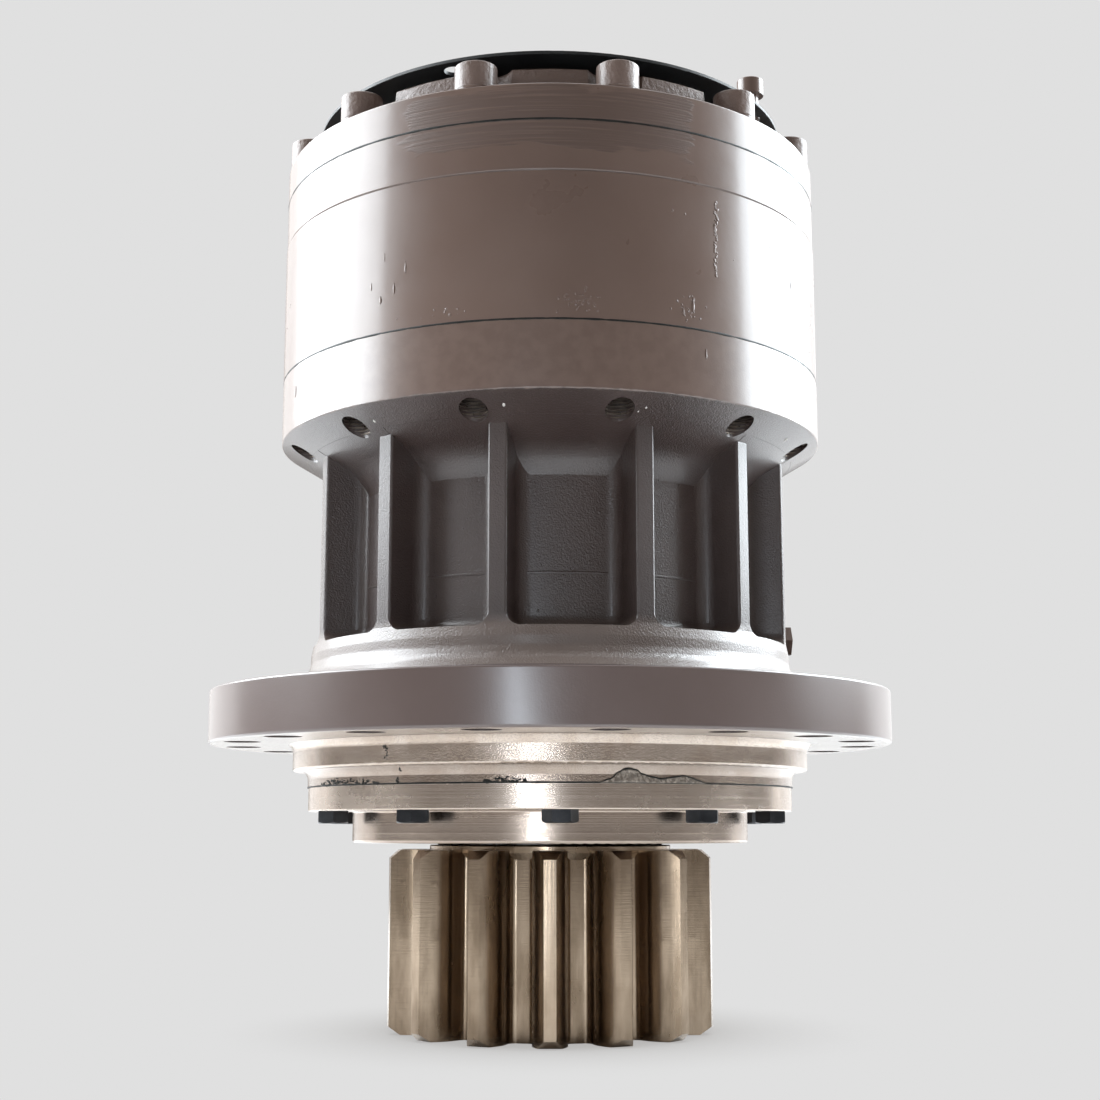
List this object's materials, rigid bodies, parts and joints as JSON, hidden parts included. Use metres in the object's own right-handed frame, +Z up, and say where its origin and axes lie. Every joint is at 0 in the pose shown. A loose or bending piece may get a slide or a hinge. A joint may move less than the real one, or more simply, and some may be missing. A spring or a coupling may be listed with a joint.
{
  "type": "swing reduction gearbox",
  "caption": "Upright flanged two-stage planetary swing gearbox with a ribbed cast housing, a geared drum on top and an output pinion below.",
  "frame": {"origin": "centre of the mounting flange's underside, on the output axis", "axes": "+Z up along the output axis, from the pinion to the motor face; -Y is the front, as pictured"},
  "size_m": [0.407, 0.407, 0.569],
  "materials": {
    "cast_paint": "semi-gloss paint over a sand casting",
    "drum_paint": "semi-gloss paint over turned steel",
    "screw_paint": "overpainted steel",
    "turned_steel": "turned",
    "gear_steel": "hobbed, oiled",
    "black_oxide": "black oxide",
    "black_sheet": "matt black",
    "bearing_steel": "ground",
    "bronze": "machined",
    "seal_rubber": "matt",
    "copper": "annealed"
  },
  "bodies": {
    "housing": {"casing": "cast_paint", "ring_gear": "drum_paint", "top_cover": "drum_paint", "fill_plug": "black_oxide", "drum_screws": "screw_paint", "dowel_pins": "bearing_steel", "lower_seam_oring": "seal_rubber", "upper_seam_oring": "seal_rubber", "drain_plug": "screw_paint", "drain_plug_washer": "copper", "seal_cover": "turned_steel", "seal_cover_oring": "seal_rubber", "seal_cover_bolts": "black_oxide", "output_lip_seal": "seal_rubber", "seal_garter_spring": "bearing_steel", "lower_bearing_outer_race": "bearing_steel", "upper_bearing_outer_race": "bearing_steel", "bearing_circlip": "black_oxide"},
    "output_shaft": {"pinion_shaft": "gear_steel", "seal_sleeve": "bearing_steel", "bearing_spacer": "turned_steel", "lower_bearing_inner_race": "bearing_steel", "upper_bearing_inner_race": "bearing_steel", "lock_washer": "black_oxide", "bearing_locknut": "black_oxide", "carrier_2": "turned_steel", "planet_pins_2": "bearing_steel", "pin_lock_dowels_2": "black_oxide", "thrust_washers_2": "bronze", "planet_bearings_2": "bearing_steel", "shaft_end_plate": "turned_steel", "end_plate_bolts": "black_oxide", "thrust_button": "bronze"},
    "lower_bearing_rolling_set": {"lower_bearing_cage": "bronze", "lower_bearing_rollers": "bearing_steel"},
    "upper_bearing_rolling_set": {"upper_bearing_cage": "bronze", "upper_bearing_rollers": "bearing_steel"},
    "planet_2a": {"planet_gear_2a": "gear_steel"},
    "planet_2b": {"planet_gear_2b": "gear_steel"},
    "planet_2c": {"planet_gear_2c": "gear_steel"},
    "first_stage_carrier": {"carrier_1": "turned_steel", "sun_gear_2": "gear_steel", "planet_pins_1": "bearing_steel", "pin_lock_dowels_1": "black_oxide", "thrust_washers_1": "bronze", "planet_bearings_1": "bearing_steel", "planet_pin_circlips_1": "black_oxide", "sun_thrust_pad": "bronze"},
    "planet_1a": {"planet_gear_1a": "gear_steel"},
    "planet_1b": {"planet_gear_1b": "gear_steel"},
    "planet_1c": {"planet_gear_1c": "gear_steel"},
    "input_sun": {"sun_gear_1": "gear_steel"},
    "transport_cover": {"transport_cover": "black_sheet", "transport_cover_screws": "screw_paint"}
  },
  "joints": [
    {"name": "output_spin", "type": "hinge", "parent": "housing", "child": "output_shaft", "pos_m": [0, 0, -0.114], "axis": [0, 0, 1], "continuous": true},
    {"name": "lower_rollers_orbit", "type": "hinge", "parent": "housing", "child": "lower_bearing_rolling_set", "pos_m": [0, 0, 0.007], "axis": [0, 0, 1], "continuous": true},
    {"name": "upper_rollers_orbit", "type": "hinge", "parent": "housing", "child": "upper_bearing_rolling_set", "pos_m": [0, 0, 0.133], "axis": [0, 0, 1], "continuous": true},
    {"name": "planet_2a_spin", "type": "hinge", "parent": "output_shaft", "child": "planet_2a", "pos_m": [0.06755, 0.039, 0.243], "axis": [0, 0, 1], "continuous": true},
    {"name": "planet_2b_spin", "type": "hinge", "parent": "output_shaft", "child": "planet_2b", "pos_m": [-0.06755, 0.039, 0.243], "axis": [0, 0, 1], "continuous": true},
    {"name": "planet_2c_spin", "type": "hinge", "parent": "output_shaft", "child": "planet_2c", "pos_m": [0, -0.078, 0.243], "axis": [0, 0, 1], "continuous": true},
    {"name": "first_carrier_spin", "type": "hinge", "parent": "housing", "child": "first_stage_carrier", "pos_m": [0, 0, 0.293], "axis": [0, 0, 1], "continuous": true},
    {"name": "planet_1a_spin", "type": "hinge", "parent": "first_stage_carrier", "child": "planet_1a", "pos_m": [0.02174, 0.08114, 0.315], "axis": [0, 0, 1], "continuous": true},
    {"name": "planet_1b_spin", "type": "hinge", "parent": "first_stage_carrier", "child": "planet_1b", "pos_m": [-0.08114, -0.02174, 0.315], "axis": [0, 0, 1], "continuous": true},
    {"name": "planet_1c_spin", "type": "hinge", "parent": "first_stage_carrier", "child": "planet_1c", "pos_m": [0.0594, -0.0594, 0.315], "axis": [0, 0, 1], "continuous": true},
    {"name": "input_spin", "type": "hinge", "parent": "housing", "child": "input_sun", "pos_m": [0, 0, 0.33], "axis": [0, 0, 1], "continuous": true},
    {"name": "cover_lift", "type": "slide", "parent": "housing", "child": "transport_cover", "axis": [0, 0, 1], "range_m": [0, 0.25]}
  ],
  "couplings": [
    {"joint": "lower_rollers_orbit", "follows": "output_spin", "ratio": 0.4536},
    {"joint": "upper_rollers_orbit", "follows": "output_spin", "ratio": 0.4514},
    {"joint": "planet_2a_spin", "follows": "output_spin", "ratio": -2.625},
    {"joint": "planet_2b_spin", "follows": "output_spin", "ratio": -2.625},
    {"joint": "planet_2c_spin", "follows": "output_spin", "ratio": -2.625},
    {"joint": "first_carrier_spin", "follows": "output_spin", "ratio": 5.2},
    {"joint": "planet_1a_spin", "follows": "output_spin", "ratio": -15.6},
    {"joint": "planet_1b_spin", "follows": "output_spin", "ratio": -15.6},
    {"joint": "planet_1c_spin", "follows": "output_spin", "ratio": -15.6},
    {"joint": "input_spin", "follows": "output_spin", "ratio": 20.8}
  ]
}
